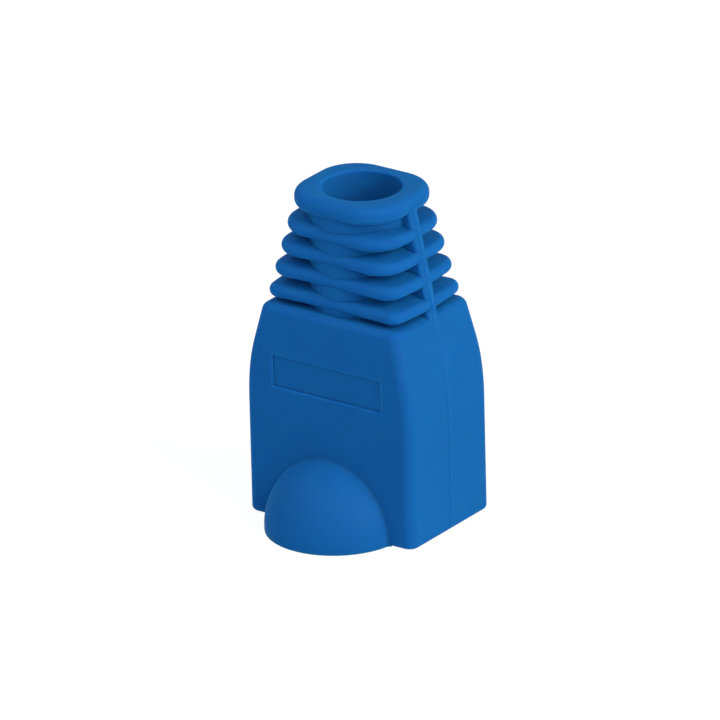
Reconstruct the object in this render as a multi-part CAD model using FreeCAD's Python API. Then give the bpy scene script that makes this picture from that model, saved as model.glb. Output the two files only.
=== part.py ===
import FreeCAD, Part

import math
import os

# Strain relief boot for an RJ45 plug: one piece of soft PVC, moulded in two
# halves of a tool that part on the plane Y = 0.
#
# Millimetres, +Z up. The plug goes in from below, at Z = 0, and the cable
# leaves through the neck, along +Z. The latch of the plug lies on the side
# that faces -Y, under the hood. The origin is the middle of the plug mouth,
# on the axis of the cable bore.

# ---------------------------------------------------------------- the plug
plug_width = 11.7
plug_thickness = 8.1
plug_clearance = 0.05          # all round
plug_depth = 10.5              # how far the plug reaches into the boot
socket_corner_radius = 0.4
socket_lead_in = 0.2

# ---------------------------------------------------------------- the body
side_wall = 1.3
face_wall = 0.775
body_height = 16.2             # from the mouth to the shoulder
body_corner_radius = 0.8
shoulder_radius = 0.55
foot_chamfer = 0.3
side_taper_start = 8.9
side_taper_angle = 13.6
face_taper_start = 11.7
face_taper_angle = 6.1
taper_bend_radius = 18.0

# ------------------------------------------------------- the cable and bore
bore_radius = 2.9
bore_lead_in = 0.2
funnel_height = 4.5
funnel_ledge = 0.55            # the step that the end of the plug meets
funnel_end_width = 3.6         # where the funnel ends, inside the bore

# ---------------------------------------------------------------- the neck
tube_wall = 0.98
fin_count = 4
fin_thickness = 0.86
fin_gap = 0.85
shoulder_gap = 0.43            # between the shoulder and the lowest fin
fin_nose_chamfer = 0.27
fin_half_depth = 4.0           # at the middle of the front and the back
fin_front_hollow = 0.22        # how much further out the corners are
fin_side_bulge = 0.36          # how far the sides swell towards the webs
low_fin_corner_radius = 0.95
high_fin_corner_radius = 2.45
collar_gap = 0.92              # between the highest fin and the collar
collar_thickness = 1.32
collar_half_depth = 4.15
collar_corner_radius = 3.1
collar_chamfer = 0.34

# ------------------------------------------------- webs on the parting plane
low_nose_half_width = 5.96     # across the webs, at the lowest fin
collar_half_width = 4.44
web_width = 1.1
web_edge_chamfer = 0.2
web_setback = 0.06             # behind the noses of the fins
web_root_drop = 0.8            # how far below the shoulder a web runs out
strip_width = 0.3
strip_height = 0.06            # in front of the noses of the fins
parting_line_width = 0.16
parting_line_height = 0.05

# ---------------------------------------------------------------- the hood
hood_radius = 5.2
hood_wall = 1.0
hood_centre_inset = 0.88       # behind the front face
hood_centre_height = 0.34      # above the mouth

# --------------------------------------------------------------- the panel
panel_width = 9.4
panel_height = 2.4
panel_base = 10.15
panel_depth = 0.2
panel_corner_radius = 0.25

# ------------------------------------------------------------ worked out
socket_width = plug_width + 2 * plug_clearance
socket_thickness = plug_thickness + 2 * plug_clearance
body_width = socket_width + 2 * side_wall
body_depth = socket_thickness + 2 * face_wall
front_face = -body_depth / 2
tube_radius = bore_radius + tube_wall
fins_top = body_height + shoulder_gap + fin_count * fin_thickness + (fin_count - 1) * fin_gap
neck_top = fins_top + collar_gap + collar_thickness
collar_level = neck_top - collar_thickness / 2

margin = 1.0                   # how far a cutting tool runs past the surface


def vector(x, y, z):
    return FreeCAD.Vector(x, y, z)


def rounded_rectangle(half_width, half_depth, radius, z):
    """A flat face with four round corners, centred on the Z axis."""
    inner_x = half_width - radius
    inner_y = half_depth - radius
    edges = []
    for quarter in range(4):
        start = math.radians(90 * quarter)
        middle = start + math.radians(45)
        end = start + math.radians(90)
        centre_x = inner_x if quarter in (0, 3) else -inner_x
        centre_y = inner_y if quarter in (0, 1) else -inner_y

        def on_corner(angle):
            return vector(centre_x + radius * math.cos(angle),
                          centre_y + radius * math.sin(angle), z)

        if edges:
            last = edges[-1].lastVertex().Point
            edges.append(Part.makeLine(last, on_corner(start)))
        edges.append(Part.Arc(on_corner(start), on_corner(middle), on_corner(end)).toShape())
    edges.append(Part.makeLine(edges[-1].lastVertex().Point, edges[0].firstVertex().Point))
    return Part.Face(Part.Wire(edges))


def rounded_block(half_width, half_depth, radius, bottom, top):
    """A rounded rectangle, raised from one level to another."""
    base = rounded_rectangle(half_width, half_depth, radius, bottom)
    return base.extrude(vector(0, 0, top - bottom))


def tapered_outline(half_width, taper_start, taper_angle, top):
    """Half an outline: straight up, round a bend, then leaning inwards.

    Gives the edges and the last point, in X and Z.
    """
    angle = math.radians(taper_angle)
    bend_centre = half_width - taper_bend_radius

    def on_bend(part):
        return vector(bend_centre + taper_bend_radius * math.cos(angle * part), 0,
                      taper_start + taper_bend_radius * math.sin(angle * part))

    bend_end = on_bend(1)
    last = vector(bend_end.x - (top - bend_end.z) * math.tan(angle), 0, top)
    edges = [
        Part.makeLine(vector(half_width, 0, 0), on_bend(0)),
        Part.Arc(on_bend(0), on_bend(0.5), bend_end).toShape(),
        Part.makeLine(bend_end, last),
    ]
    return edges, last


def tapered_slab(half_width, taper_start, taper_angle, thickness):
    """The outline above and its mirror image as a slab about the plane Y = 0."""
    edges, last = tapered_outline(half_width, taper_start, taper_angle, body_height)
    right = Part.Wire(edges)
    left = right.mirror(vector(0, 0, 0), vector(1, 0, 0))
    top = Part.makeLine(last, vector(-last.x, 0, last.z))
    bottom = Part.makeLine(vector(-half_width, 0, 0), vector(half_width, 0, 0))
    outline = Part.Wire(Part.__sortEdges__(right.Edges + left.Edges + [top, bottom]))
    slab = Part.Face(outline).extrude(vector(0, thickness, 0))
    slab.translate(vector(0, -thickness / 2, 0))
    return slab


def body_block():
    """The tapered housing round the plug, before it is hollowed out."""
    seen_from_front = tapered_slab(body_width / 2, side_taper_start, side_taper_angle, body_depth)
    seen_from_side = tapered_slab(body_depth / 2, face_taper_start, face_taper_angle, body_width)
    seen_from_side.rotate(vector(0, 0, 0), vector(0, 0, 1), 90)
    block = seen_from_front.common(seen_from_side)
    corners = []
    for edge in block.Edges:
        middle = edge.CenterOfMass
        spans_height = edge.BoundBox.ZLength > 0.01
        if spans_height and abs(middle.x) > 1 and abs(middle.y) > 1:
            corners.append(edge)
    block = block.makeFillet(body_corner_radius, corners)
    shoulder = [edge for edge in block.Edges if edge.BoundBox.ZMin > body_height - 0.001]
    block = block.makeFillet(shoulder_radius, shoulder)
    foot = [edge for edge in block.Edges if edge.BoundBox.ZMax < 0.001]
    return block.makeChamfer(foot_chamfer, foot)


def fin_level(index):
    """The height of the middle of a fin, counted from the shoulder up."""
    return body_height + shoulder_gap + fin_thickness / 2 + index * (fin_thickness + fin_gap)


def nose_half_width(z):
    """Half the width of the neck across its webs, which lean inwards."""
    low = fin_level(0)
    lean = (collar_half_width - low_nose_half_width) / (collar_level - low)
    return low_nose_half_width + lean * (z - low)


def fin_outline(index):
    """Four arcs: a hollow front and back, and sides that swell out to the webs."""
    z = fin_level(index) - fin_thickness / 2
    side = nose_half_width(fin_level(index))
    corner_x = side - fin_side_bulge
    corner_y = fin_half_depth + fin_front_hollow
    corners = [vector(corner_x, -corner_y, z), vector(corner_x, corner_y, z),
               vector(-corner_x, corner_y, z), vector(-corner_x, -corner_y, z)]
    middles = [vector(side, 0, z), vector(0, fin_half_depth, z),
               vector(-side, 0, z), vector(0, -fin_half_depth, z)]
    edges = []
    for number in range(4):
        following = corners[(number + 1) % 4]
        edges.append(Part.Arc(corners[number], middles[number], following).toShape())
    return Part.Face(Part.Wire(edges))


def chamfer_rims(plate, size):
    rims = [edge for edge in plate.Edges if edge.BoundBox.ZLength < 0.001]
    return plate.makeChamfer(size, rims)


def fin(index):
    """One flexible fin of the neck."""
    share = index / (fin_count - 1)
    radius = low_fin_corner_radius + share * (high_fin_corner_radius - low_fin_corner_radius)
    plate = fin_outline(index).extrude(vector(0, 0, fin_thickness))
    uprights = [edge for edge in plate.Edges if edge.BoundBox.ZLength > 0.001]
    return chamfer_rims(plate.makeFillet(radius, uprights), fin_nose_chamfer)


def collar():
    """The thick end of the neck, where the cable leaves."""
    plate = rounded_block(collar_half_width, collar_half_depth, collar_corner_radius,
                          neck_top - collar_thickness, neck_top)
    return chamfer_rims(plate, collar_chamfer)


def nose_slab(offset, thickness):
    """A slab on the plane Y = 0 whose edges follow the noses of the fins.

    Below the lowest fin the edges bend to run out on the sides of the body.
    """
    root = body_height - web_root_drop
    side = tapered_outline(body_width / 2, side_taper_start, side_taper_angle, root)[1].x
    outline = [(side, root), (nose_half_width(fin_level(0)), fin_level(0)), (collar_half_width, collar_level)]
    right = [vector(x + offset, 0, z) for x, z in outline]
    left = [vector(-x - offset, 0, z) for x, z in reversed(outline)]
    corners = right + left
    slab = Part.Face(Part.makePolygon(corners + corners[:1])).extrude(vector(0, thickness, 0))
    slab.translate(vector(0, -thickness / 2, 0))
    return slab


def web():
    """The two webs that join the fins, as one slab through the tube."""
    slab = nose_slab(-web_setback, web_width)
    edges = []
    for edge in slab.Edges:
        leans = edge.BoundBox.YLength < 0.001 and edge.BoundBox.ZLength > 0.001
        if leans:
            edges.append(edge)
    return slab.makeChamfer(web_edge_chamfer, edges)


def neck():
    """The flexible part: a tube with fins and a collar, and a web down each side."""
    root = body_height - shoulder_radius
    tube = Part.makeCylinder(tube_radius, collar_level - root, vector(0, 0, root))
    fins = [fin(index) for index in range(fin_count)]
    strip = nose_slab(strip_height, strip_width)
    return [tube, collar(), web(), strip] + fins


def parting_line():
    """The fine flash that the two halves of the tool leave on the body."""
    slab = tapered_slab(body_width / 2 + parting_line_height, side_taper_start, side_taper_angle,
                        parting_line_width)
    foot = []
    for edge in slab.Edges:
        runs_across = edge.BoundBox.XLength < 0.001
        if runs_across and edge.BoundBox.ZMax < 0.001:
            foot.append(edge)
    return slab.makeChamfer(foot_chamfer, foot)


def hood():
    """The bulge over the plug's latch, cut off level with the mouth."""
    centre = vector(0, front_face + hood_centre_inset, hood_centre_height)
    ball = Part.makeSphere(hood_radius, centre)
    span = 2 * hood_radius
    room = Part.makeBox(2 * span, span, span, vector(-span, front_face + hood_centre_inset - span, 0))
    return ball.common(room)


def socket():
    """The room for the plug, with a lead-in at the mouth."""
    half_width = socket_width / 2
    half_depth = socket_thickness / 2
    room = rounded_block(half_width, half_depth, socket_corner_radius, -margin, plug_depth)
    reach = socket_lead_in + margin
    mouth = Part.makeLoft([
        rounded_rectangle(half_width + reach, half_depth + reach, socket_corner_radius + reach, -margin).OuterWire,
        rounded_rectangle(half_width, half_depth, socket_corner_radius, socket_lead_in).OuterWire,
    ], True, True)
    return [room, mouth]


def funnel():
    """Where the socket closes to the bore, inside the shoulder."""
    low_x = socket_width / 2 - funnel_ledge
    low_y = socket_thickness / 2 - funnel_ledge
    high = funnel_end_width / 2
    top = plug_depth + funnel_height
    signs = [(-1, -1), (1, -1), (1, 1), (-1, 1)]
    low_ring = [vector(x * low_x, y * low_y, plug_depth) for x, y in signs]
    high_ring = [vector(x * high, y * high, top) for x, y in signs]
    sides = []
    for number in range(4):
        following = (number + 1) % 4
        sides.append([low_ring[number], low_ring[following], high_ring[following], high_ring[number]])
    outlines = [low_ring, high_ring] + sides
    faces = [Part.Face(Part.makePolygon(outline + outline[:1])) for outline in outlines]
    return Part.Solid(Part.Shell(faces))


def bore():
    """The cable's way through the neck, with a lead-in at the end."""
    way = Part.makeCylinder(bore_radius, neck_top + margin - plug_depth, vector(0, 0, plug_depth))
    flare = Part.makeCone(bore_radius, bore_radius + bore_lead_in + margin, bore_lead_in + margin,
                          vector(0, 0, neck_top - bore_lead_in))
    return [way, flare]


def latch_room():
    """The hollow of the hood, open to the socket and to the mouth."""
    centre = vector(0, front_face + hood_centre_inset, hood_centre_height)
    return Part.makeSphere(hood_radius - hood_wall, centre, vector(0, -1, 0))


def panel():
    """A shallow blank field on the front face."""
    plate = rounded_block(panel_width / 2, panel_height / 2, panel_corner_radius, 0, panel_depth + margin)
    plate.rotate(vector(0, 0, 0), vector(1, 0, 0), 90)
    plate.translate(vector(0, front_face + panel_depth, panel_base + panel_height / 2))
    return plate


def boot():
    outside = body_block().multiFuse([parting_line(), hood()] + neck())
    hollow = socket() + [funnel()] + bore() + [latch_room(), panel()]
    return outside.cut(hollow).removeSplitter()


os.makedirs("parts", exist_ok=True)
shape = boot()
solid = shape.Solids[0]
solid.exportStep("parts/boot.step")
print("solids", len(shape.Solids), "valid", solid.isValid(), "height", round(neck_top, 3))
print("volume", round(solid.Volume, 1), "faces", len(solid.Faces))
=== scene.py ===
# %% [markdown]
# # A strain relief boot for a network cable
#
# This boot slides over the cable end of an RJ45 plug. It is one soft PVC
# moulding: a tapered housing holds the plug, a round hood covers the plug's
# latch, and a ribbed neck bends with the cable. The engineering model is
# loaded first, as a fixed frame. Nothing in it is moved, and every size below
# agrees with it to a fraction of a millimetre.

# %% The frame
import math

import bmesh
import bpy
from mathutils import Matrix, Vector


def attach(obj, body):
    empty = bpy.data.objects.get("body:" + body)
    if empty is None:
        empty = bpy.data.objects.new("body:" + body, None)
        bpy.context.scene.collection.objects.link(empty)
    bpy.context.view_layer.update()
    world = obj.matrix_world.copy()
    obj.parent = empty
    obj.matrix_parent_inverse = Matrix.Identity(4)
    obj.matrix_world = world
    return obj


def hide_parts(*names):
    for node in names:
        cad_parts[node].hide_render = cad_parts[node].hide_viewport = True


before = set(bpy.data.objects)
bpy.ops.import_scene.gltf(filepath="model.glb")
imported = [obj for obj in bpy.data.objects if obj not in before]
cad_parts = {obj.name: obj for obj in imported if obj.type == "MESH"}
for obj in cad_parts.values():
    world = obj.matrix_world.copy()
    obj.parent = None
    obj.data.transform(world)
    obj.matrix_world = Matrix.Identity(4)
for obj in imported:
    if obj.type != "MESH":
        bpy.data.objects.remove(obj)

# Blender's start-up objects are no part of this scene, and would count in its size.
for spare in ("Cube", "Light", "Camera"):
    if spare in bpy.data.objects:
        bpy.data.objects.remove(bpy.data.objects[spare])

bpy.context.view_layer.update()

# %% [markdown]
# ## Working in millimetres
#
# Blender counts in metres, and this object is 25 mm tall. It could be modelled
# at that size, but several modelling tools merge points that are closer than a
# tenth of a millimetre when they are left alone, which would eat its small
# roundings. So the boot is modelled a thousand times too large, one unit for
# one millimetre, and shrunk once at the end.

# %% Millimetres
MM = 0.001
TINY = 1e-3  # how far from a level, in mm, an edge still counts as on it
CUT = 1e-5  # how close to a cutting plane, in mm, a point counts as on it


def deselect_all():
    if bpy.context.object and bpy.context.object.mode != "OBJECT":
        bpy.ops.object.mode_set(mode="OBJECT")
    bpy.ops.object.select_all(action="DESELECT")


def edit(piece):
    """Opens one piece in edit mode, with all its edges selected."""
    deselect_all()
    bpy.context.view_layer.objects.active = piece
    piece.select_set(True)
    bpy.ops.object.mode_set(mode="EDIT")
    bpy.ops.mesh.select_mode(type="EDGE")
    bpy.ops.mesh.select_all(action="SELECT")


def done():
    bpy.ops.object.mode_set(mode="OBJECT")


def new_piece(name):
    """Names the primitive that was just added, and puts its place into its mesh."""
    piece = bpy.context.object
    piece.name = name
    bpy.ops.object.transform_apply()
    return piece


print("one unit is one millimetre, and", MM, "of a metre")

# %% Selecting edges by their place
def select_edges(test):
    """Selects the edges whose two ends, a and b, pass a test, and counts them."""
    bpy.ops.mesh.select_mode(type="EDGE")
    bpy.ops.mesh.select_all(action="DESELECT")
    cage = bmesh.from_edit_mesh(bpy.context.object.data)
    count = 0
    for edge in cage.edges:
        if test(edge.verts[0].co, edge.verts[1].co):
            edge.select_set(True)
            count += 1
    bmesh.update_edit_mesh(bpy.context.object.data)
    return count


def at_level(z):
    """A test for the edges that lie at height z."""
    return lambda a, b: abs(a.z - z) < TINY and abs(b.z - z) < TINY


def upright(a, b):
    """A test for the edges that climb, as the corners of a block do."""
    return abs(a.z - b.z) > 0.1


def cut_at(level):
    """Cuts the open piece into a lower and an upper part, which stay joined."""
    bpy.ops.mesh.select_all(action="SELECT")
    bpy.ops.mesh.bisect(plane_co=(0, 0, level), plane_no=(0, 0, 1), threshold=CUT)


# %% [markdown]
# ## The housing
#
# The housing is a box round the plug, 14.4 mm wide. Its lower part is
# upright, and higher up its sides bend inwards in a long, gentle curve, the
# narrow sides more than the broad faces. Such a form could be bridged between
# outlines that are drawn one by one. A cube is simpler: it is cut at several
# levels, and each level is scaled in towards the axis. The corners, the
# shoulder and the foot are bevelled last, because a bevel keeps its radius only
# when the form under it no longer changes.

# %% The housing's outline
BODY_WIDTH, BODY_DEPTH, BODY_HEIGHT = 14.4, 9.75, 16.2
FRONT = -BODY_DEPTH / 2
SIDE_TAPER = (8.9, 13.6)  # where the bend starts, and how many degrees it turns
FACE_TAPER = (11.7, 6.1)
BEND_RADIUS = 18.0


def drawn_in(z, taper):
    """How far a side has come in at height z: an arc, then a straight lean."""
    start, degrees = taper
    angle = math.radians(degrees)
    arc_height = BEND_RADIUS * math.sin(angle)
    rise = z - start
    if rise <= 0:
        return 0.0
    if rise < arc_height:
        return BEND_RADIUS - math.sqrt(BEND_RADIUS ** 2 - rise ** 2)
    return BEND_RADIUS * (1 - math.cos(angle)) + (rise - arc_height) * math.tan(angle)


print("the sides come in by", round(drawn_in(BODY_HEIGHT, SIDE_TAPER), 2), "mm")

# %% A block that follows the outline
TAPER_LEVELS = [SIDE_TAPER[0] + 0.5 * step for step in range(11)]


def tapered_block(name, width, depth, in_depth=True):
    """A block that narrows as the housing does, and gets thinner too if asked."""
    bpy.ops.mesh.primitive_cube_add(size=1, location=(0, 0, BODY_HEIGHT / 2),
                                    scale=(width, depth, BODY_HEIGHT))
    block = new_piece(name)
    edit(block)
    for z in TAPER_LEVELS:
        cut_at(z)
    for z in TAPER_LEVELS + [BODY_HEIGHT]:
        select_edges(at_level(z))
        narrower = 1 - 2 * drawn_in(z, SIDE_TAPER) / width
        thinner = 1 - 2 * drawn_in(z, FACE_TAPER) / depth if in_depth else 1
        bpy.ops.transform.resize(value=(narrower, thinner, 1), center_override=(0, 0, z))
    done()
    return block


deselect_all()
housing = tapered_block("housing", BODY_WIDTH, BODY_DEPTH)
print("housing", [round(v, 2) for v in housing.dimensions])

# %% Rounding the housing
CORNER_RADIUS = 0.8
SHOULDER_RADIUS = 0.55
FOOT_RADIUS = 0.32

edit(housing)
corners = select_edges(lambda a, b: upright(a, b) and abs(a.x) > 3 and abs(a.y) > 3)
bpy.ops.mesh.bevel(offset=CORNER_RADIUS, segments=8, affect="EDGES")
shoulder = select_edges(lambda a, b: min(a.z, b.z) > BODY_HEIGHT - TINY)
bpy.ops.mesh.bevel(offset=SHOULDER_RADIUS, segments=7, affect="EDGES")
foot = select_edges(lambda a, b: max(a.z, b.z) < TINY)
bpy.ops.mesh.bevel(offset=FOOT_RADIUS, segments=5, affect="EDGES")
done()
print("edges of the corners", corners, "of the shoulder", shoulder, "of the foot", foot)

# %% [markdown]
# ## The parting line
#
# The mould comes apart along the middle of the narrow sides. Where its halves
# meet, a little plastic is squeezed out, and a low, soft ridge is left. A bump
# in the material would look the same from afar, but it would be missing in the
# outline. So it is a thin slab with the housing's own outline and fully round
# edges, and only their tips stand out of the faces. It ends above the rounded
# foot.

# %% The parting line
FLASH_WIDTH, FLASH_HEIGHT = 0.36, 0.05
NEARLY_HALF = 0.499  # a bevel of exactly half a width would leave doubled points


def round_upright_edges(slab, radius, segments):
    edit(slab)
    select_edges(upright)
    bpy.ops.mesh.bevel(offset=radius, segments=segments, affect="EDGES")
    done()


flash = tapered_block("parting_line", BODY_WIDTH + 2 * FLASH_HEIGHT, FLASH_WIDTH, in_depth=False)
round_upright_edges(flash, NEARLY_HALF * FLASH_WIDTH, 8)
edit(flash)
bpy.ops.mesh.bisect(plane_co=(0, 0, FOOT_RADIUS), plane_no=(0, 0, 1), use_fill=True,
                    clear_inner=True, threshold=CUT)
done()
print("parting line", [round(v, 2) for v in flash.dimensions])

# %% [markdown]
# ## The hood over the latch
#
# The latch of the plug springs up and down under a round hood, so that it
# can't snag when the cable is pulled through a bundle. The hood is nearly half
# a ball. A ready-made sphere would meet the face in a hard line. Here a profile
# is spun round an axis that points out of the front face, and it ends in a
# small hollow curve, so that the ball flows into the face as in a real
# moulding. The part below the mouth is cut away.

# %% The profile of the hood
HOOD_RADIUS = 5.2
HOOD_INSET = 0.88  # how far the ball's middle lies behind the front face
HOOD_HEIGHT = 0.34
CREASE_RADIUS = 0.2
CREASE_END = math.radians(88)
ROOT_DEPTH = 0.3  # how far the spun shape goes into the housing


def hood_profile():
    """Points from the pole of the ball to just under the front face."""
    centre_y = FRONT + HOOD_INSET
    reach = HOOD_RADIUS + CREASE_RADIUS
    out = HOOD_INSET + CREASE_RADIUS
    crease_x = math.sqrt(reach ** 2 - out ** 2)
    crease_y = FRONT - CREASE_RADIUS
    last = math.acos(out / reach)
    start = math.atan2(out, -crease_x)
    points = []
    for step in range(25):
        angle = last * step / 24
        points.append((HOOD_RADIUS * math.sin(angle), centre_y - HOOD_RADIUS * math.cos(angle)))
    for step in range(1, 6):
        angle = start + (CREASE_END - start) * step / 5
        across, out = CREASE_RADIUS * math.cos(angle), CREASE_RADIUS * math.sin(angle)
        points.append((crease_x + across, crease_y + out))
    return points + [(crease_x, FRONT + ROOT_DEPTH), (0, FRONT + ROOT_DEPTH)]


print("profile of the hood:", len(hood_profile()), "points")

# %% Spinning the hood
def spun_hood():
    deselect_all()
    bpy.ops.mesh.primitive_plane_add(size=1)
    ball = bpy.context.object
    ball.name = "hood"
    edit(ball)
    bpy.ops.mesh.delete(type="VERT")
    cage = bmesh.from_edit_mesh(ball.data)
    row = [cage.verts.new((x, y, 0)) for x, y in hood_profile()]
    for a, b in zip(row, row[1:]):
        cage.edges.new((a, b))
    bmesh.update_edit_mesh(ball.data)
    bpy.ops.mesh.select_all(action="SELECT")
    bpy.ops.mesh.spin(steps=96, angle=math.tau, center=(0, 0, 0), axis=(0, 1, 0), dupli=False)
    bpy.ops.mesh.select_all(action="SELECT")
    bpy.ops.mesh.remove_doubles(threshold=1e-4)
    bpy.ops.transform.translate(value=(0, 0, HOOD_HEIGHT))
    bpy.ops.mesh.bisect(plane_co=(0, 0, 0), plane_no=(0, 0, 1), use_fill=True,
                        clear_inner=True, threshold=CUT)
    bpy.ops.mesh.select_all(action="SELECT")
    bpy.ops.mesh.normals_make_consistent(inside=False)
    done()
    return ball


hood = spun_hood()
print("hood", [round(v, 2) for v in hood.dimensions])

# %% [markdown]
# ## The neck
#
# The neck has to bend without kinking, so it is a thin tube that carries four
# fins and ends in a thicker collar. Seen along the cable, a fin has a slightly
# hollow front and back and sides that swell a little: four shallow arcs with
# rounded corners. That outline could be drawn by hand, but worked out from a
# few sizes it stays exact from fin to fin. The corners are circles that touch
# two arcs, the outline is raised into a plate, and a bevel makes its edge
# fully round.

# %% Arcs and circles
def arc(centre, radius, start, end, steps):
    """Points on a circle from one angle up to, but without, another."""
    angles = [start + (end - start) * step / steps for step in range(steps)]
    return [centre + radius * Vector((math.cos(angle), math.sin(angle))) for angle in angles]


def circle_of(half_chord, rise):
    """The radius of a shallow arc with this half chord and rise."""
    return (half_chord ** 2 + rise ** 2) / (2 * rise)


def meeting_point(a, a_radius, b, b_radius):
    """Where two circles meet, on the left as one looks from a to b."""
    way = b - a
    along = (way.length_squared + a_radius ** 2 - b_radius ** 2) / (2 * way.length)
    aside = math.sqrt(a_radius ** 2 - along ** 2)
    ahead = way.normalized()
    return a + ahead * along + Vector((-ahead.y, ahead.x)) * aside


print("an arc 8 mm long that rises by 0.22 mm has a radius of", round(circle_of(4, 0.22), 1), "mm")

# %% The outline of a fin
FIN_HALF_DEPTH = 4.0
FIN_HOLLOW = 0.22  # how far the front and back are hollowed
FIN_BULGE = 0.36  # how far the sides swell


def fin_quarter(half_width, corner_radius):
    """A quarter of the outline, from the middle of the right side to the back."""
    corner_x, corner_y = half_width - FIN_BULGE, FIN_HALF_DEPTH + FIN_HOLLOW
    side_radius, back_radius = circle_of(corner_y, FIN_BULGE), circle_of(corner_x, FIN_HOLLOW)
    side_centre = Vector((half_width - side_radius, 0))
    back_centre = Vector((0, FIN_HALF_DEPTH + back_radius))
    corner = meeting_point(back_centre, back_radius + corner_radius,
                           side_centre, side_radius - corner_radius)
    from_side = corner - side_centre
    from_back = back_centre - corner
    side_end = math.atan2(from_side.y, from_side.x)
    corner_end = math.atan2(from_back.y, from_back.x)
    return (arc(side_centre, side_radius, 0, side_end, 8)
            + arc(corner, corner_radius, side_end, corner_end, 12)
            + arc(back_centre, back_radius, corner_end + math.pi, 1.5 * math.pi, 8))


def whole_outline(quarter):
    """The four quarters of an outline, in order, from one of them."""
    left = [Vector((-point.x, point.y)) for point in reversed(quarter)]
    half = quarter + left
    return half + [Vector((-point.x, -point.y)) for point in half[1:-1]]


print("outline of a fin:", len(whole_outline(fin_quarter(6, 1))), "points")

# %% The outline of the collar
COLLAR_HALF_DEPTH = 4.15
COLLAR_CORNER = 3.1


def collar_quarter(half_width):
    """A quarter of the collar's outline, which has straight sides."""
    corner = Vector((half_width - COLLAR_CORNER, COLLAR_HALF_DEPTH - COLLAR_CORNER))
    side = [Vector((half_width, 0))]
    back = [Vector((corner.x, COLLAR_HALF_DEPTH))]
    return side + arc(corner, COLLAR_CORNER, 0, math.pi / 2, 14) + back


print("outline of the collar:", len(whole_outline(collar_quarter(4))), "points")

# %% A plate with a rounded edge
def rounded_plate(name, quarter, bottom, top, nose):
    """Raises an outline into a plate, and rounds its edge with this radius."""
    outline = whole_outline(quarter)
    deselect_all()
    bpy.ops.mesh.primitive_circle_add(vertices=len(outline), radius=1, fill_type="NGON",
                                      location=(0, 0, bottom))
    plate = new_piece(name)
    edit(plate)
    cage = bmesh.from_edit_mesh(plate.data)
    for point, place in zip(cage.verts, outline):
        point.co.xy = place
    bmesh.update_edit_mesh(plate.data)
    bpy.ops.mesh.extrude_region_move(TRANSFORM_OT_translate={"value": (0, 0, top - bottom)})
    bpy.ops.mesh.select_all(action="SELECT")
    bpy.ops.mesh.normals_make_consistent(inside=False)
    select_edges(lambda a, b: abs(a.z - b.z) < 1e-4)
    bpy.ops.mesh.bevel(offset=nose, segments=7, affect="EDGES")
    done()
    return plate


# %% Thicker towards the tube
FLAT_SHARE = 0.6  # the size of the raised middle against the flat face


def thicken_root(plate, level, side, lean):
    """Lifts the middle of the upper (side 1) or lower (side -1) face, so that the face leans."""
    edit(plate)
    bpy.ops.mesh.select_mode(type="FACE")
    bpy.ops.mesh.select_all(action="DESELECT")
    cage = bmesh.from_edit_mesh(plate.data)
    for face in cage.faces:
        face.select_set(face.normal.z * side > 0.99 and face.calc_area() > 5)
    bmesh.update_edit_mesh(plate.data)
    bpy.ops.mesh.extrude_region_move()
    bpy.ops.transform.resize(value=(FLAT_SHARE, FLAT_SHARE, 1), center_override=(0, 0, level))
    bpy.ops.transform.translate(value=(0, 0, side * lean))
    done()


# %% Where the fins are
FIN_COUNT = 4
FIN_THICKNESS = 0.98
FIN_PITCH = FIN_THICKNESS + 0.73
FIN_LEVEL = BODY_HEIGHT + 0.37 + FIN_THICKNESS / 2
NECK_TOP = 24.9
COLLAR_THICKNESS = 1.36
COLLAR_LEVEL = NECK_TOP - COLLAR_THICKNESS / 2
LOW_NOSE, COLLAR_NOSE = 5.96, 4.44  # half widths of the lowest fin and of the collar
LOW_CORNER, HIGH_CORNER = 0.95, 2.45  # corner radii of the lowest and the highest fin


def nose_half_width(z):
    """The half width of the neck at height z: a straight line from fin to collar."""
    share = (z - FIN_LEVEL) / (COLLAR_LEVEL - FIN_LEVEL)
    return LOW_NOSE + (COLLAR_NOSE - LOW_NOSE) * share


levels = [FIN_LEVEL + number * FIN_PITCH for number in range(FIN_COUNT)]
print("half widths of the fins", [round(nose_half_width(level), 2) for level in levels])

# %% The fins
FIN_NOSE = 0.49 * FIN_THICKNESS
FIN_RISE, FIN_FALL = 0.36, 0.08  # how much the faces of a fin lean towards the tube

neck = []
for number, level in enumerate(levels):
    corner_radius = LOW_CORNER + (HIGH_CORNER - LOW_CORNER) * number / (FIN_COUNT - 1)
    quarter = fin_quarter(nose_half_width(level), corner_radius)
    bottom, top = level - FIN_THICKNESS / 2, level + FIN_THICKNESS / 2
    fin = rounded_plate(f"fin_{number + 1}", quarter, bottom, top, FIN_NOSE)
    thicken_root(fin, top, 1, FIN_RISE)
    thicken_root(fin, bottom, -1, FIN_FALL)
    neck.append(fin)
print("fins", [fin.name for fin in neck])

# %% The collar
COLLAR_ROUNDING = 0.6

collar = rounded_plate("collar", collar_quarter(COLLAR_NOSE), NECK_TOP - COLLAR_THICKNESS, NECK_TOP,
                       COLLAR_ROUNDING)
# Its faces stay level, and the same ring in them keeps the shading round the bore even.
thicken_root(collar, NECK_TOP, 1, 0.0)
thicken_root(collar, NECK_TOP - COLLAR_THICKNESS, -1, 0.0)
neck.append(collar)
print("collar", [round(v, 2) for v in collar.dimensions])

# %% The tube
TUBE_RADIUS = 3.88
TUBE_ROOT = BODY_HEIGHT - SHOULDER_RADIUS

deselect_all()
bpy.ops.mesh.primitive_cylinder_add(vertices=128, radius=TUBE_RADIUS, depth=COLLAR_LEVEL - TUBE_ROOT,
                                    location=(0, 0, (COLLAR_LEVEL + TUBE_ROOT) / 2))
neck.append(new_piece("tube"))
print("tube", [round(v, 2) for v in neck[-1].dimensions])

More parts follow.
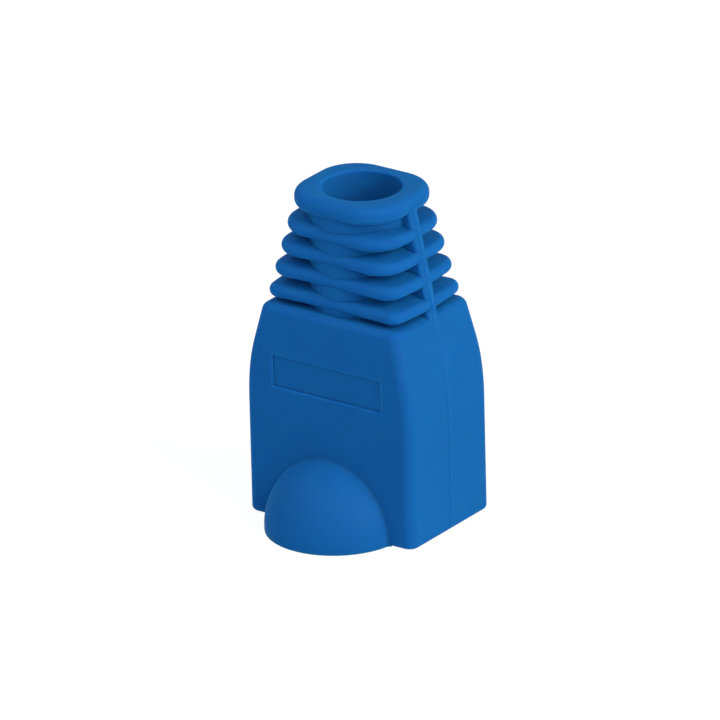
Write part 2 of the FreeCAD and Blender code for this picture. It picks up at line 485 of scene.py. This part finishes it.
# %% [markdown]
# ## The webs
#
# Down each side, where the two halves of the mould meet, a narrow web joins
# the fins, so that the neck bends only forwards and back. The fine raised line
# of the mould runs down its middle. One slab makes both webs at once: it goes
# right through the neck, and its ends follow the noses of the fins. A second,
# thinner one that stands out a little makes the line.

# %% A slab along the noses
WEB_ROOT = BODY_HEIGHT - 0.8


def nose_slab(name, offset, width):
    """A slab across the neck whose ends stand out of the noses by the offset."""
    root_half_width = BODY_WIDTH / 2 - drawn_in(WEB_ROOT, SIDE_TAPER)
    bpy.ops.mesh.primitive_cube_add(size=1, location=(0, 0, (WEB_ROOT + COLLAR_LEVEL) / 2),
                                    scale=(2, width, COLLAR_LEVEL - WEB_ROOT))
    slab = new_piece(name)
    edit(slab)
    cut_at(FIN_LEVEL)
    for z, half_width in ((WEB_ROOT, root_half_width), (FIN_LEVEL, LOW_NOSE), (COLLAR_LEVEL, COLLAR_NOSE)):
        select_edges(at_level(z))
        bpy.ops.transform.resize(value=(half_width + offset, 1, 1), center_override=(0, 0, z))
    done()
    return slab


# %% The webs and their lines
WEB_SETBACK = 0.02
WEB_WIDTH = 1.1
WEB_ROUNDING = 0.3

deselect_all()
web = nose_slab("web", -WEB_SETBACK, WEB_WIDTH)
round_upright_edges(web, WEB_ROUNDING, 4)
deselect_all()
web_line = nose_slab("web_line", FLASH_HEIGHT, FLASH_WIDTH)
round_upright_edges(web_line, NEARLY_HALF * FLASH_WIDTH, 8)
neck += [web, web_line]
print("web", [round(v, 2) for v in web.dimensions])

# %% [markdown]
# ## One moulding
#
# All these forms are one piece of plastic. They could be left as overlapping
# shells, but then hard lines would show where they cross, and the piece would
# have walls inside. So the exact boolean joins them, one after the other, and
# then the hollows are cut out: the room for the plug, the funnel that leads to
# the cable, the bore, the room for the latch, and the shallow field on the
# front.

# %% Joining
def combine(body, tool, operation):
    """Joins a tool to the body, or cuts it out, and removes the tool."""
    step = body.modifiers.new(tool.name, "BOOLEAN")
    step.object = tool
    step.operation = operation
    step.solver = "EXACT"
    deselect_all()
    bpy.context.view_layer.objects.active = body
    body.select_set(True)
    bpy.ops.object.modifier_apply(modifier=step.name)
    print(operation.lower(), tool.name, "leaves", len(body.data.polygons), "faces")
    bpy.data.objects.remove(tool)


boot = housing
for piece in [flash, hood] + neck:
    combine(boot, piece, "UNION")

# %% The plug's room
SOCKET_WIDTH, SOCKET_DEPTH, SOCKET_HEIGHT = 11.8, 8.2, 10.5
SOCKET_CORNER = 0.4


def block_cutter(name, size, location, rounding=0.0, along=2):
    """A block for cutting, with rounded edges along one axis (2 is upright)."""
    deselect_all()
    bpy.ops.mesh.primitive_cube_add(size=1, location=location, scale=size)
    cutter = new_piece(name)
    if rounding:
        edit(cutter)
        select_edges(lambda a, b: abs(a[along] - b[along]) > 0.1)
        bpy.ops.mesh.bevel(offset=rounding, segments=5, affect="EDGES")
        done()
    return cutter


# It starts 1 mm below the mouth, so that the boolean meets no shared plane.
socket = block_cutter("socket", (SOCKET_WIDTH, SOCKET_DEPTH, SOCKET_HEIGHT + 1),
                      (0, 0, (SOCKET_HEIGHT - 1) / 2), SOCKET_CORNER)
combine(boot, socket, "DIFFERENCE")

# %% The funnel
LEDGE = 0.55  # the step all round that stops the plug
FUNNEL_HEIGHT = 4.5
FUNNEL_TOP = 3.6
OVERLAP = 0.1
funnel_width, funnel_depth = SOCKET_WIDTH - 2 * LEDGE, SOCKET_DEPTH - 2 * LEDGE

funnel = block_cutter("funnel", (funnel_width, funnel_depth, FUNNEL_HEIGHT + OVERLAP),
                      (0, 0, SOCKET_HEIGHT + (FUNNEL_HEIGHT - OVERLAP) / 2))
edit(funnel)
select_edges(lambda a, b: min(a.z, b.z) > SOCKET_HEIGHT + FUNNEL_HEIGHT / 2)
bpy.ops.transform.resize(value=(FUNNEL_TOP / funnel_width, FUNNEL_TOP / funnel_depth, 1),
                         center_override=(0, 0, SOCKET_HEIGHT + FUNNEL_HEIGHT))
done()
combine(boot, funnel, "DIFFERENCE")

# %% The bore
BORE_RADIUS = 2.9
BORE_REACH = 16  # from the plug's room to well above the collar

deselect_all()
bpy.ops.mesh.primitive_cylinder_add(vertices=128, radius=BORE_RADIUS, depth=BORE_REACH,
                                    location=(0, 0, SOCKET_HEIGHT + BORE_REACH / 2))
bore = new_piece("bore")
edit(bore)
# Two rings keep the soft shading of the funnel and of the rim out of the long wall.
cut_at(SOCKET_HEIGHT + FUNNEL_HEIGHT + 0.1)
cut_at(NECK_TOP - 0.5)
done()
combine(boot, bore, "DIFFERENCE")

# %% The latch room
HOOD_WALL = 1.0

deselect_all()
bpy.ops.mesh.primitive_uv_sphere_add(segments=64, ring_count=32, radius=HOOD_RADIUS - HOOD_WALL,
                                     location=(0, FRONT + HOOD_INSET, HOOD_HEIGHT),
                                     rotation=(math.radians(90), 0, 0))
combine(boot, new_piece("latch_room"), "DIFFERENCE")

# %% The field on the front
PANEL_WIDTH, PANEL_HEIGHT, PANEL_BASE, PANEL_DEPTH = 9.4, 2.4, 10.15, 0.16
PANEL_CORNER = 0.12
panel_middle = PANEL_BASE + PANEL_HEIGHT / 2

panel = block_cutter("panel", (PANEL_WIDTH, 2, PANEL_HEIGHT), (0, FRONT + PANEL_DEPTH - 1, panel_middle),
                     PANEL_CORNER, along=1)
combine(boot, panel, "DIFFERENCE")

# %% Softening the rims
PANEL_RIM = 0.07
BORE_RIM = 0.15


def on_panel_rim(point):
    across = abs(point.x) < PANEL_WIDTH / 2 + 0.01
    along = abs(point.z - panel_middle) < PANEL_HEIGHT / 2 + 0.01
    return across and along and point.y < FRONT + 0.08


def on_bore_rim(point):
    return point.z > NECK_TOP - TINY and point.xy.length < BORE_RADIUS + 0.01


edit(boot)
panel_rim = select_edges(lambda a, b: on_panel_rim(a) and on_panel_rim(b))
bpy.ops.mesh.bevel(offset=PANEL_RIM, segments=3, affect="EDGES")
bore_rim = select_edges(lambda a, b: on_bore_rim(a) and on_bore_rim(b))
bpy.ops.mesh.bevel(offset=BORE_RIM, segments=5, affect="EDGES")
done()
print("edges on the rims of the field and of the bore", panel_rim, bore_rim)

# %% [markdown]
# ## Back to metres
#
# The moulding is shrunk to its real size in edit mode, so that the object
# itself stays unscaled, and close points are merged. Flat shading would show
# every facet of the roundings, and smooth shading everywhere would smear the
# light over the edges. So faces are smooth where two of them meet at a small
# angle, and the large ones have the most say in how the light falls.

# %% Shrinking and shading
MERGE = 0.002
SMOOTH_BELOW = math.radians(38)

edit(boot)
bpy.ops.mesh.remove_doubles(threshold=MERGE)
bpy.ops.transform.resize(value=(MM, MM, MM), center_override=(0, 0, 0))
done()
boot.name = "boot_moulding"
boot.data.name = "boot_moulding"
bpy.ops.object.shade_smooth_by_angle(angle=SMOOTH_BELOW)
weigh = boot.modifiers.new("weighted_normals", "WEIGHTED_NORMAL")
weigh.keep_sharp = True
weigh.weight = 80
bpy.ops.object.modifier_apply(modifier=weigh.name)
print("the boot is now", [round(v, 5) for v in boot.dimensions], "metres")

# %% Is it closed?
check = bmesh.new()
check.from_mesh(boot.data)
open_edges = sum(1 for edge in check.edges if not edge.is_manifold)
volume = check.calc_volume() / MM ** 3
print("open edges", open_edges, "volume mm3", round(volume, 1), "faces", len(check.faces))
check.free()

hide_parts("boot")
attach(boot, "root")

# %% [markdown]
# ## The plastic
#
# Soft PVC, dyed through and moulded against a finely spark-eroded steel
# mould. To the eye that gives an even, saturated blue with a broad, dull
# shine, no sharp reflections, and edges and slots that look soft, because some
# light goes a little way into the plastic and comes out beside where it went
# in. A painted picture of light and shade would do for one view only. A shader
# that scatters light under the surface looks right from everywhere.

# %% Colour
def linear(hex_colour):
    """An sRGB colour written as hex, as the linear values that a shader takes."""
    values = [int(hex_colour[start:start + 2], 16) / 255 for start in (1, 3, 5)]
    return tuple(v / 12.92 if v <= 0.04045 else ((v + 0.055) / 1.055) ** 2.4 for v in values) + (1.0,)


def add(tree, kind, settings=None, links=None):
    """Adds a node, sets its sockets or properties by name, and links its inputs."""
    node = tree.nodes.new(kind)
    for name, value in (settings or {}).items():
        if name in node.inputs:
            node.inputs[name].default_value = value
        else:
            setattr(node, name, value)
    for name, output in (links or {}).items():
        tree.links.new(output, node.inputs[name])
    return node


def new_material(name):
    material = bpy.data.materials.new(name)
    material.use_nodes = True
    material.node_tree.nodes.clear()
    return material


print("the darker blue is", [round(v, 3) for v in linear("#105b9b")])

# %% Moulded soft PVC
CLOUD_SIZE = 0.005  # 5 mm: the dye is not quite even over such lengths
# Eroded steel leaves a grain of about 0.03 mm, too fine to show. It is drawn at 0.12 mm.
GRAIN_SIZE = 0.00012
GRAIN_DEPTH = 0.00001


def moulded_soft_pvc():
    """Soft PVC from an eroded mould: even blue, dull, a little light goes into it."""
    material = new_material("moulded_soft_pvc")
    tree = material.node_tree
    place = add(tree, "ShaderNodeTexCoord").outputs["Object"]
    cloud = add(tree, "ShaderNodeTexNoise", {"Scale": 1 / CLOUD_SIZE, "Detail": 2.0}, {"Vector": place})
    tint = add(tree, "ShaderNodeValToRGB", links={"Fac": cloud.outputs["Fac"]})
    for element, position, colour in zip(tint.color_ramp.elements, (0.3, 0.7), ("#105b9b", "#115e9f")):
        element.position = position
        element.color = linear(colour)
    dull = add(tree, "ShaderNodeMapRange", {"To Min": 0.56, "To Max": 0.64}, {"Value": cloud.outputs["Fac"]})
    grain = add(tree, "ShaderNodeTexNoise", {"Scale": 1 / GRAIN_SIZE, "Detail": 1.0}, {"Vector": place})
    bump = add(tree, "ShaderNodeBump", {"Strength": 0.12, "Distance": GRAIN_DEPTH},
               {"Height": grain.outputs["Fac"]})
    # Red light goes 0.3 mm into the blue plastic, and blue light 1.2 mm.
    skin = add(tree, "ShaderNodeBsdfPrincipled",
               {"IOR": 1.53, "Specular IOR Level": 0.05, "Subsurface Weight": 1.0,
                "Subsurface Radius": (0.25, 0.6, 1.0), "Subsurface Scale": 0.0012},
               {"Base Color": tint.outputs["Color"], "Roughness": dull.outputs["Result"],
                "Normal": bump.outputs["Normal"]})
    add(tree, "ShaderNodeOutputMaterial", links={"Surface": skin.outputs["BSDF"]})
    return material


boot.data.materials.clear()
boot.data.materials.append(moulded_soft_pvc())
print("material", boot.data.materials[0].name)

# %% [markdown]
# ## The stage
#
# A plain pale floor under soft light. A floor that was only lit would turn grey
# towards the back, and more light on it would also wash out the boot. So the
# floor's own material shows white to the camera and in reflections, and a small
# share of it still takes the boot's shadow.

# %% The floor's material
def pale_floor():
    """White to look at, with a thin share that takes shadows, and pale paint for the rest."""
    material = new_material("pale_floor")
    tree = material.node_tree
    rays = add(tree, "ShaderNodeLightPath").outputs
    either = add(tree, "ShaderNodeMath", {"operation": "MAXIMUM"})
    tree.links.new(rays["Is Camera Ray"], either.inputs[0])
    tree.links.new(rays["Is Glossy Ray"], either.inputs[1])
    seen = add(tree, "ShaderNodeMath", {"operation": "MAXIMUM"})
    tree.links.new(either.outputs[0], seen.inputs[0])
    tree.links.new(rays["Is Transmission Ray"], seen.inputs[1])
    paint = add(tree, "ShaderNodeBsdfDiffuse", {"Color": linear("#e4e4e4")})
    thin = add(tree, "ShaderNodeBsdfDiffuse", {"Color": linear("#707070")})
    glow = add(tree, "ShaderNodeEmission", {"Color": (1, 1, 1, 1), "Strength": 0.9})
    white = add(tree, "ShaderNodeAddShader")
    tree.links.new(thin.outputs[0], white.inputs[0])
    tree.links.new(glow.outputs[0], white.inputs[1])
    mix = add(tree, "ShaderNodeMixShader", links={"Fac": seen.outputs[0]})
    tree.links.new(paint.outputs[0], mix.inputs[1])
    tree.links.new(white.outputs[0], mix.inputs[2])
    add(tree, "ShaderNodeOutputMaterial", links={"Surface": mix.outputs[0]})
    return material


# %% The floor
FLOOR_GAP = 0.00003  # so that the floor and the boot's foot share no plane

deselect_all()
bpy.ops.mesh.primitive_plane_add(size=6, location=(0, 0, -FLOOR_GAP))
floor = new_piece("floor")
floor.data.materials.append(pale_floor())
print("floor", [round(v, 2) for v in floor.dimensions])

# %% The sky
world = bpy.data.worlds.new("soft_sky")
bpy.context.scene.world = world
world.use_nodes = True
sky = world.node_tree
sky.nodes.clear()
rays = add(sky, "ShaderNodeLightPath").outputs
shine = add(sky, "ShaderNodeBackground", {"Color": (0.93, 0.95, 1.0, 1), "Strength": 0.3})
plain = add(sky, "ShaderNodeBackground", {"Color": (1, 1, 1, 1), "Strength": 1.0})
choice = add(sky, "ShaderNodeMixShader", links={"Fac": rays["Is Camera Ray"]})
sky.links.new(shine.outputs[0], choice.inputs[1])
sky.links.new(plain.outputs[0], choice.inputs[2])
add(sky, "ShaderNodeOutputWorld", links={"Surface": choice.outputs[0]})
print("sky", world.name)

# %% [markdown]
# ## The lamps
#
# Small bright lamps would draw hard highlights and shadows, which don't suit a
# dull, soft object. Three large soft ones do: the key from the right lights the
# narrow side, the overhead one the collar and the tops of the fins, and a weak,
# slightly blue fill the front.

# %% The lamps
def lamp(name, direction, distance, size, power, colour=(1, 1, 1)):
    """A square soft lamp that looks at the middle of the boot."""
    middle = Vector((0, 0, 0.012))
    toward = Vector(direction).normalized()
    deselect_all()
    bpy.ops.object.light_add(type="AREA", location=middle + toward * distance)
    light = bpy.context.object
    light.name = name
    light.rotation_euler = toward.to_track_quat("Z", "Y").to_euler()
    light.data.shape = "SQUARE"
    light.data.size = size
    light.data.energy = power
    light.data.color = colour
    print("lamp", name, power, "W")


lamp("key", (0.87, -0.08, 0.48), 0.6, 0.35, 3.4, (1.0, 0.98, 0.9))
lamp("overhead", (-0.35, -0.6, 1.0), 0.7, 0.6, 1.95)
lamp("fill", (0.5, -0.75, 0.45), 0.9, 0.5, 1.75, (0.76, 0.8, 1.0))

# %% [markdown]
# ## The camera
#
# A close camera would make the near corner look large. A long lens from a
# metre away keeps the sides nearly parallel. It stands a little above the boot
# and to its right, so that the front, the side and the open end all show.

# %% Where the camera looks from
AZIMUTH, ELEVATION, ROLL = math.radians(35.833), math.radians(22.679), math.radians(1.421)
DISTANCE = 0.97196
level_right = Vector((math.cos(AZIMUTH), math.sin(AZIMUTH), 0))
back = Vector((math.sin(AZIMUTH) * math.cos(ELEVATION), -math.cos(AZIMUTH) * math.cos(ELEVATION),
               math.sin(ELEVATION)))
level_up = back.cross(level_right)
right = level_right * math.cos(ROLL) - level_up * math.sin(ROLL)
up = level_right * math.sin(ROLL) + level_up * math.cos(ROLL)
aim = Vector((0, 0, 0.012857)) - right * 0.000385 - up * 0.001272
print("the camera looks at", [round(v, 4) for v in aim])

# %% The camera
deselect_all()
bpy.ops.object.camera_add(location=aim + back * DISTANCE)
camera = bpy.context.object
camera.name = "camera"
camera.rotation_euler = Matrix((right, up, back)).transposed().to_euler()
camera.data.sensor_width = 36
camera.data.lens = 683.3
camera.data.clip_start, camera.data.clip_end = 0.01, 20
bpy.context.scene.camera = camera
bpy.context.scene.view_settings.view_transform = "Standard"
print("lens", round(camera.data.lens, 1), "mm")
